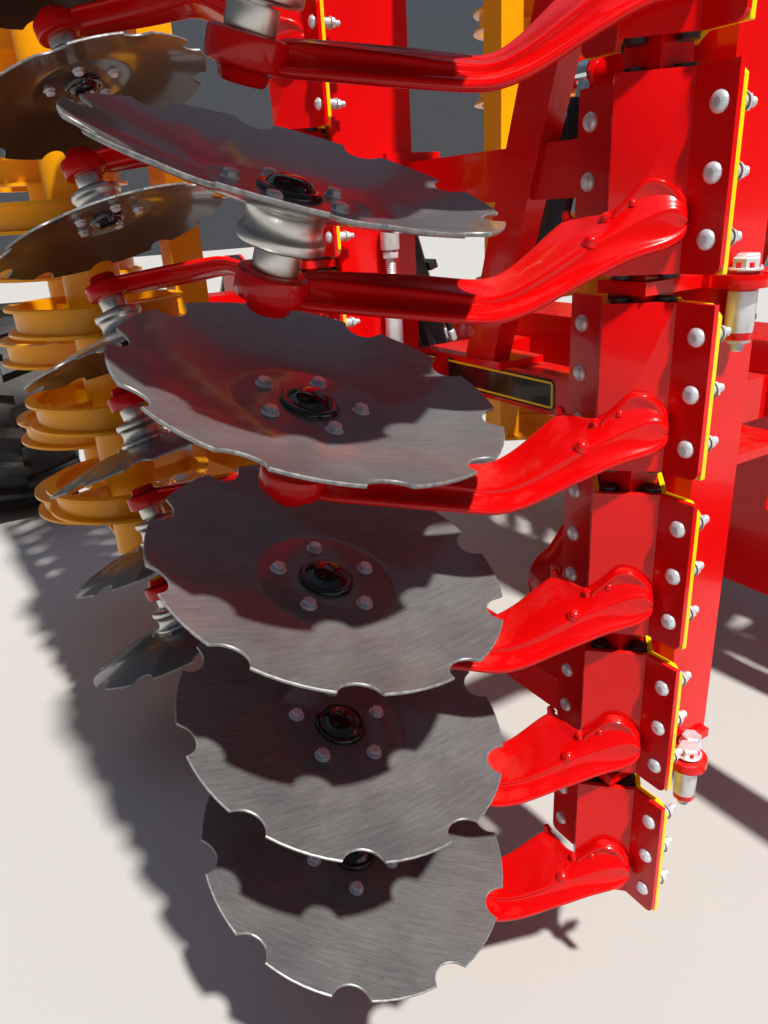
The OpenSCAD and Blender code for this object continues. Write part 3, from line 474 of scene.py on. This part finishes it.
MIRROR_Y = Matrix.Diagonal((1, -1, 1, 1))
plain, flipped = disc_mesh("disc", IDENTITY), disc_mesh("disc_mirrored", MIRROR_Y)
for (side, s), (row, row_name), k in product(SIDES.items(), enumerate(ROWS), range(N)):
    place = station(s, row, k) @ (Matrix.Translation(DISC_AT) @ tilt @ spin(math.radians(TURNS[row][k])))
    # a mirrored place takes the mirrored mesh, so that no object has a negative scale
    odd = place.to_3x3().determinant() < 0
    node_name = f"disc_{side}_{row_name}_{k + 1}"
    o = bpy.data.objects.new(f"notched_{node_name}", flipped if odd else plain)
    bpy.context.scene.collection.objects.link(o)
    o.matrix_world = place @ MIRROR_Y if odd else place
    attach(o, node_name + "_body"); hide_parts(node_name)

# ---------------------------------------------------------------- disc arms
# Sections in mm, q along the arm and p across it: q; p, z of the lower front edge; p, z of the ridge;
# p, z of the rear edge; height of the rear edge; depth of the groove.
ARM = [(-30, -71, -66, -71, -42, -60, -26, 40, 0),
       (-22, -75, -74, -72, -33, -57, -13, 52, 1),
       (-8, -79, -80, -72.5, -30, -55, -8, 60, 2),
       (12, -83, -84, -72.5, -37, -53, -9, 64, 2),
       (34, -86, -89, -72, -47, -50, -19, 60, 2),
       (58, -88, -100, -72, -58, -41, -37, 50, 0),
       (76, -89, -108, -72, -66, -12, -38, 34, 1),
       (86, -89, -113, -72, -70, 9, -38, 28, 6),
       (98, -89, -119, -72, -78, 16, -40, 24, 8),
       (120, -89, -131, -71, -92, 14, -57, 26, 8),
       (150, -89, -146, -68, -111, 10, -84, 28, 8),
       (178, -88, -154, -62, -123, 7, -102, 32, 7),
       (198, -85, -156, -57, -125, 4, -107, 36, 6),
       (220, -82, -154, -55, -122, -2, -106, 39, 5),
       (260, -84, -149, -58, -115, -12, -99, 42, 4),
       (300, -86, -144, -63, -108, -20, -94, 42, 3),
       (345, -88, -138, -67, -101, -29, -89, 42, 2),
       (395, -92, -131, -73, -93, -39, -84, 42, 1),
       (432, -94, -127, -76, -88, -46, -80, 42, 0)]
# forging knobs on the arm: (q, p, z), radius, height, direction
KNOBS = (((94, 12, -43), 5.5, 11, (-0.15, 0.35, 1)), ((77, -66, -67), 7.5, 9, (-0.25, -0.55, 0.8)),
         ((57, -47, -43), 5.5, 8, (-0.5, 0, 0.9)), ((30, -56, -27), 4.5, 5, (-0.4, -0.4, 0.9)))


def arm_pt(q, p, z): return Vector((mm(0.6 * p - 0.8 * q), mm(0.8 * p + 0.6 * q), mm(z)))


def arm_ring(q, pf, zb, pr, zr, pb, zt, tb, g):
    """Points round one section, from the lower front edge over the ridge and the rear edge."""
    zl = zt - tb
    wide = pb - pr
    e = min(6.0, wide * 0.22)
    sunk = min(2.5, g * 0.3)
    pts = [(pf + 9, zb - 0.5), (pf + 1.5, zb + 0.5), (pf - 0.5, zb + 6), (pf + 1.5, zb + 12),
           (pf + 3 + g * 0.8 + (pr - pf) * 0.25, zb + 15 + g * 0.3), (pr - 1 + g * 0.35, zr - 11),
           (pr - 1.5, zr - 3.5), (pr + 3, zr + 0.5),
           (pr + wide * 0.33, zr + (zt - zr) * 0.33 - sunk), (pr + wide * 0.66, zr + (zt - zr) * 0.66 - sunk),
           (pb - e, zt - 0.3), (pb - 0.5, zt - 2.5), (pb, zl + 5), (pb - e, zl), ((pb + pf) / 2, (zl + zb) / 2)]
    return [arm_pt(q, p, z) for p, z in pts]


def arm_body():
    rings = [arm_ring(*section) for section in ARM]
    n = len(rings[0])
    v, f = sum(rings, []), skin(len(rings), n)
    close_ring(v, f, 0, n)
    close_ring(v, f, (len(rings) - 1) * n, n, -1)
    return v, f


def foot():
    """Round ended foot on the clamp face, its edge raised and rounded."""
    round_r, round_z, steps = 39, -40, 24
    outline = []
    for t in range(steps + 1):
        a = math.radians(97 - 194 * t / steps)
        outline.append((-2.8 + round_r * math.cos(a), round_z + round_r * math.sin(a)))
    outline += [(-18, -80), (-33, -81), (-45, -81), (-46.5, -66), (-46.5, -50), (-45.5, -38), (-40, -32),
                (-28, -20), (-17, -8)]
    cu, cz = -8, -44
    face = 48.5    # half the clamp face
    v = []
    # height above the face, share of the outline's width
    levels = ((0.3, 1.0), (8, 1.0), (12, 0.985), (14.5, 0.94), (15, 0.87), (13.5, 0.80), (13, 0.45))
    for (w, share), (u, z) in product(levels, outline):
        u, z = cu + (u - cu) * share, cz + (z - cz) * share
        v.append(Vector((mm((u - w - face) / math.sqrt(2)), mm((-u - w - face) / math.sqrt(2)), mm(z))))
    n = len(outline)
    f = skin(len(levels), n)
    close_ring(v, f, (len(levels) - 1) * n, n)
    return v, f


def knob(r, h):
    return lathe([(r * 1.35, 0), (r * 1.1, h * 0.25), (r, h * 0.6), (r * 0.8, h * 0.88), (r * 0.4, h),
                  (0, h * 1.03)], 16)


boss = lathe([(0, -0.092), (0.0275, -0.092), (0.0400, -0.0925), (0.0445, -0.0945), (0.0460, -0.099),
              (0.0460, -0.121), (0.0440, -0.1255), (0.0380, -0.1275), (0.0320, -0.1290), (0.0290, -0.1330),
              (0.0275, -0.1400), (0.0240, -0.1435), (0, -0.144)], 40)
spacer = lathe([(0.0285, -0.0915), (0.0290, -0.0900), (0.0290, -0.0700), (0.0280, -0.0660), (0.0200, -0.0655),
                (0.0199, -0.0330), (0, -0.0325)], 32)
on_disc_axis = Matrix.Translation(DISC_AT) @ tilt
arm = arm_body()
# part, place in the clamp's frame, 0 for red paint and 1 for steel
fittings = [(foot(), IDENTITY, 0), (boss, on_disc_axis, 0), (spacer, on_disc_axis, 1)]
fittings += [(knob(mm(r), mm(h)), frame_from(lean, arm_pt(*at)), 0) for at, r, h, lean in KNOBS]
for side, s in SIDES.items():
    arms, extras = Heap(), Heap()
    for row, k in product((0, 1), range(N)):
        to = station(s, row, k)
        arms.add(arm, to)
        for part, place, mat in fittings: extras.add(part, to @ place, mat)
    o = arms.piece(f"forged_arms_{side}", [RED], f"wing_{side}", "red_paint", angle=180)
    smooth = o.modifiers.new("smooth", "SUBSURF")
    smooth.levels = smooth.render_levels = 2
    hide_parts(f"disc_arms_{side}")
    extras.piece(f"arm_feet_and_bosses_{side}", [RED, STEEL], f"wing_{side}", "red_paint", angle=40)


# ---------------------------------------------------------------- bolts and spindles on the wings
def wing_pt(s, xr, y, z):
    """World point from mm: xr inward from the gang tube, y behind the front tube, z above the ground."""
    return Vector((s * (TUBE - mm(xr)), Y0 + mm(y), mm(z)))


# Bolts down through the carriers, in mm: washer and head at the top, bush, nut and thread at the bottom.
CARRIER_Z = (475, 1225, 1962)
BOLT_HALF = 12.5                        # from the carrier's middle to washer and bush
CARRIER_BOLTS = ((100, 74, 1.0, 0.8), (124, 60, 0.9, 2.5))    # xr, y from the row, size, head's rise
REAR_ROW = 920                          # from the front row
SPINDLE_AT = (143, 828, 1030)
big_washer = lathe_mm([(0, 3), (20, 3), (21, 2), (21, 0)], 28)
big_head = lathe_mm([(0, 15), (15, 15), (17.2, 13.2), (17.4, 0), (17.4, -1)], 6)
big_bush = lathe_mm([(0, 0), (17.6, 0), (17.6, -50), (16.5, -52), (0, -52)], 30)
big_nut = lathe_mm([(0, -66), (13, -66), (15.5, -64.5), (15.5, -53), (13, -52), (0, -52)], 6)
big_thread = lathe_mm([(0, -76), (7, -76)] + screw(-75, 1, 11, 8.4, 7.4) + [(7.4, -64)], 16)
steel_nut = lathe_mm([(0, 14), (17, 14), (19, 12.5), (19, 1.5), (17, 0), (0, 0)], 6)
# the wing stop's turnbuckle, from its foot up: sleeve, nut, thread, nut, sleeve
SPINDLE = ((lathe_mm([(0, 0), (19, 0), (20, 2), (20, 96), (19, 98), (0, 98)], 26), 0),
           (steel_nut, 100),
           (lathe_mm([(0, 112)] + screw(114, 2.4, 43, 11.5, 10.2) + [(0, 217)], 16), 0),
           (steel_nut, 196),
           (lathe_mm([(0, 214), (20, 214), (21, 217), (21, 258), (0, 258)], 26), 0))
for side, s in SIDES.items():
    heap = Heap()
    for (row, d), z, (xr, y, size, rise) in product(((0, -1), (1, 1)), CARRIER_Z, CARRIER_BOLTS):
        top = wing_pt(s, xr, REAR_ROW * row + y * d, z + BOLT_HALF)
        low = Matrix.Translation(top - Vector((0, 0, mm(2 * BOLT_HALF))))
        wide = Matrix.Diagonal((size, size, 1, 1))
        heap.add(big_washer, Matrix.Translation(top) @ Matrix.Scale(size, 4))
        heap.add(big_head, Matrix.Translation(top + Vector((0, 0, mm(rise)))) @ spin(0.3 + z + xr) @ wide)
        heap.add(big_bush, low @ wide)
        heap.add(big_nut, low @ wide @ spin(0.4 * z))
        heap.add(big_thread, low @ wide)
    for part, height in SPINDLE:
        heap.add(part, Matrix.Translation(wing_pt(s, *SPINDLE_AT)) @ Matrix.Translation((0, 0, mm(height))))
    heap.piece(f"bolts_and_spindle_{side}", [ZINC], f"wing_{side}", "chromed_rod")


# ---------------------------------------------------------------- blank plates and oil lines
def rounded_ring(w, h, r, n=6):
    """Outline of a rounded rectangle, n steps to a corner."""
    a, b = w / 2 - r, h / 2 - r
    turns = [(cx, cy, math.radians(a0 + 90 * i / n))
             for cx, cy, a0 in ((a, b, 0), (-a, b, 90), (-a, -b, 180), (a, -b, 270)) for i in range(n + 1)]
    return [(cx + r * math.cos(t), cy + r * math.sin(t)) for cx, cy, t in turns]


def blank_plate(w, h, r):
    """Blank black plate that faces along z, with a thin raised yellow border line."""
    # inset, height and the material of the band from the level before: 0 black, 1 yellow
    levels = ((0, 0, 0), (0, 0.0012, 0), (0.004, 0.0014, 0), (0.0045, 0.0018, 1), (0.0085, 0.0018, 1),
              (0.009, 0.0014, 0))
    rings = [[Vector((x, y, z)) for x, y in rounded_ring(w - 2 * inset, h - 2 * inset, r - inset)]
             for inset, z, _ in levels]
    n = len(rings[0])
    f, m = skin(len(rings), n), [mat for _, _, mat in levels[1:] for _ in range(n)]
    f += [tuple(range((len(rings) - 1) * n, len(rings) * n)), tuple(reversed(range(n)))]
    return sum(rings, []), f, m + [0, 0]


def tube(points, r, seg=14):
    """Round hose through the points, its ends closed."""
    pts = [Vector(p) for p in points]
    v, side = [], None
    for i, p in enumerate(pts):
        d = (pts[min(i + 1, len(pts) - 1)] - pts[max(i - 1, 0)]).normalized()
        if side is None: side = d.orthogonal().normalized()
        side = (side - d * side.dot(d)).normalized()
        up = d.cross(side)
        turns = [2 * math.pi * j / seg for j in range(seg)]
        v += [p + (side * math.cos(a) + up * math.sin(a)) * r for a in turns]
    f = skin(len(pts), seg)
    for base in (0, (len(pts) - 1) * seg): close_ring(v, f, base, seg)
    return v, f


def smooth_line(points, n=8):
    """Smooth curve through the points, n steps from each to the next."""
    p = [Vector(q) for q in points]
    p = [p[0] * 2 - p[1]] + p + [p[-1] * 2 - p[-2]]
    out = []
    for i, k in product(range(1, len(p) - 2), range(n)):
        u = k / n
        a, b, c, d = p[i - 1:i + 3]
        out.append(((b * 2) + (c - a) * u + (a * 2 - b * 5 + c * 4 - d) * u * u
                    + (b * 3 - a - c * 3 + d) * u ** 3) / 2)
    return out + [p[-2]]


def box(x0, y0, z0, x1, y1, z1, edge=0.0015):
    """Box with bevelled edges."""
    bm = bmesh.new()
    bmesh.ops.create_cube(bm, size=1)
    for q in bm.verts:
        q.co = Vector(((x0 + x1) / 2 + q.co.x * (x1 - x0), (y0 + y1) / 2 + q.co.y * (y1 - y0),
                       (z0 + z1) / 2 + q.co.z * (z1 - z0)))
    bmesh.ops.bevel(bm, geom=list(bm.edges), offset=edge, segments=2, profile=0.5, affect="EDGES")
    bm.verts.index_update()
    part = [q.co.copy() for q in bm.verts], [tuple(q.index for q in face.verts) for face in bm.faces]
    bm.free()
    return part


# On the frame and the fold barrel: from the centre plane, behind the front tube, above the ground.
PLATE_AT = (0.3605, 0.620, 0.970)
FOLD_PIN = (0.150, 1.080, 0.880)        # lower pin of the fold barrel
ALONG_X, ALONG_Z = 0.2976, 0.9547       # the barrel's direction
PLATE = (0.44, 0.062, 0.012)            # width, height, corner radius
LINE_R = 0.0085
LINES = ((0.019, 0.655), (-0.019, 0.20))    # side step and upper end of each line along the barrel
CLIPS = (0.30, 0.52)                    # along the barrel
crimp = lathe([(0, -0.004), (0.010, -0.004), (0.0115, 0), (0.0115, 0.022), (0.010, 0.026), (0.0086, 0.027)], 16)
port = lathe([(0, 0), (0.015, 0), (0.0155, 0.001), (0.0155, 0.017), (0.0145, 0.018), (0, 0.018)], 20)
clip = box(-0.011, -0.032, 0.0, 0.011, 0.032, 0.026)
for side, s in SIDES.items():
    def frame_pt(x, y, z): return Vector((s * x, Y0 + y, z))

    heap = Heap()
    heap.add(blank_plate(*PLATE), frame_from((s, 0, 0), frame_pt(*PLATE_AT), (0, 1, 0)))
    heap.piece(f"blank_plate_{side}", [BLACK, YELLOW], "base", "black_paint")
    along, out = Vector((s * ALONG_X, 0, ALONG_Z)), Vector((-s * ALONG_Z, 0, ALONG_X))

    def barrel_pt(u, w, dy):
        """Point u along the barrel, w out from its axis and dy to the side."""
        return frame_pt(*FOLD_PIN) + along * u + out * w + Vector((0, dy, 0))

    heap = Heap()
    for dy, top in LINES:
        line = smooth_line([barrel_pt(0.085, 0.060, dy), barrel_pt(0.14, 0.058, dy),
                            barrel_pt((0.14 + top) / 2, 0.057, dy), barrel_pt(top - 0.03, 0.058, dy),
                            barrel_pt(top, 0.066, dy * 0.9), barrel_pt(top + 0.022, 0.056, dy * 0.8)])
        heap.add(tube(line, LINE_R), IDENTITY, 0)
        for p, q in ((line[0], line[1]), (line[-1], line[-2])): heap.add(crimp, frame_from(q - p, p), 1)
        heap.add(port, frame_from(out, barrel_pt(top + 0.022, 0.038, dy * 0.8)), 1)
    for u in CLIPS: heap.add(clip, frame_from(out, barrel_pt(u, 0.042, 0), along), 0)
    heap.piece(f"fold_oil_lines_{side}", [RUBBER, ZINC], f"fold_barrel_body_{side}", "hose_rubber")

# ---------------------------------------------------------------- stage and light
FLOOR_HALF, FLOOR_Z = 30, -0.0005
FLOOR_COLOR = (0.47, 0.455, 0.43)
SUN_WAY = Vector((-0.041, 0.529, -0.848))    # the way its light goes, from the photograph's shadows
corners = [(x * FLOOR_HALF, y * FLOOR_HALF, 0) for x, y in ((-1, -1), (1, -1), (1, 1), (-1, 1))]
floor_mesh = bpy.data.meshes.new("floor")
floor_mesh.from_pydata(corners, [], [(0, 1, 2, 3)])
floor = bpy.data.objects.new("floor", floor_mesh)
floor.location = (0, 0, FLOOR_Z)
bpy.context.scene.collection.objects.link(floor)
floor_mat, _, floor_bsdf = new_mat("floor")
set_inputs(floor_bsdf, Base_Color=(*FLOOR_COLOR, 1), Roughness=0.9)
floor_mesh.materials.append(floor_mat)

sun = bpy.data.lights.new("key", "SUN")
sun.energy, sun.angle, sun.color = 5.6, math.radians(2.5), (1.0, 0.97, 0.92)
key = bpy.data.objects.new("key", sun)
bpy.context.scene.collection.objects.link(key)
key.rotation_euler = SUN_WAY.to_track_quat("-Z", "Y").to_euler()

# world: bluish light from above over dim walls
world = bpy.data.worlds.new("studio")
bpy.context.scene.world = world
world.use_nodes = True
wn = world.node_tree
background = wn.nodes["Background"]
co, way = node(wn, "ShaderNodeTexCoord"), node(wn, "ShaderNodeSeparateXYZ")
wn.links.new(co.outputs["Generated"], way.inputs[0])
sky = ramp(wn, way.outputs["Z"], 0.10, 1.0, (0.080, 0.084, 0.092), (0.36, 0.43, 0.56))
sky.node.color_ramp.elements.new(0.55).color = (0.085, 0.10, 0.135, 1)
wn.links.new(sky, background.inputs["Color"])
background.inputs["Strength"].default_value = 1.0
bpy.context.scene.view_settings.view_transform = "Standard"
